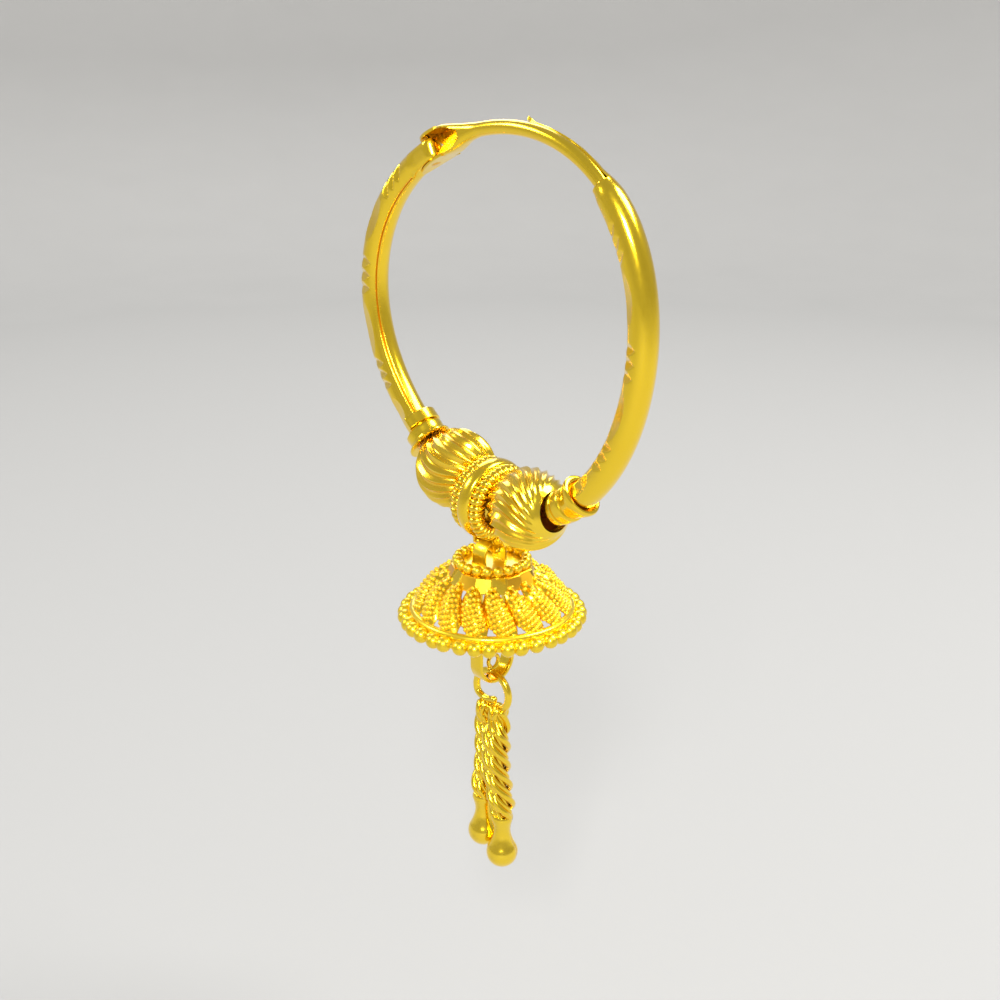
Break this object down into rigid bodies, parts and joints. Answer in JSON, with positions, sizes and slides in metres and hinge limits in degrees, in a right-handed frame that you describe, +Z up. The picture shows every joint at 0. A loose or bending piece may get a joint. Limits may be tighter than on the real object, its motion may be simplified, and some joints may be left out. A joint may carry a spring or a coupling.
{
  "type": "hinged hoop earring with bell drop",
  "caption": "Gold hinged hoop earring: a tube hoop with fluted beads and a coiled disc, and below it a pierced bell drop with two short chain tassels.",
  "frame": {"origin": "centre of the ear wire where it hangs from the ear, straight above the bell", "axes": "+Z up as worn, the hoop in the XZ plane with the hinge at -X, front to -Y"},
  "size_m": [0.0286, 0.0144, 0.0584],
  "materials": {
    "yellow_gold": "polished yellow gold",
    "pale_gold": "bright polished yellow gold",
    "deep_gold": "yellow gold, darker in the recesses"
  },
  "bodies": {
    "ear_wire": {"ear_wire": "yellow_gold", "hinge_pin": "deep_gold"},
    "hoop": {"hoop_frame": "yellow_gold", "bead_left": "pale_gold", "bead_right": "pale_gold", "centre_disc": "yellow_gold"},
    "bell_drop": {"bell": "yellow_gold", "jump_ring": "pale_gold", "chain_left": "yellow_gold", "chain_right": "yellow_gold", "end_drop_left": "pale_gold", "end_drop_right": "pale_gold"}
  },
  "joints": [
    {"name": "ear_wire_hinge", "type": "hinge", "parent": "ear_wire", "child": "hoop", "pos_m": [-0.00604, 0, -0.00199], "axis": [-0.4795, 0, 0.8775], "range_deg": [0, 90]},
    {"name": "bell_swing", "type": "hinge", "parent": "hoop", "child": "bell_drop", "pos_m": [-0.00059, 0, -0.03026], "axis": [0.9925, 0, -0.1219], "range_deg": [-45, 45]}
  ]
}
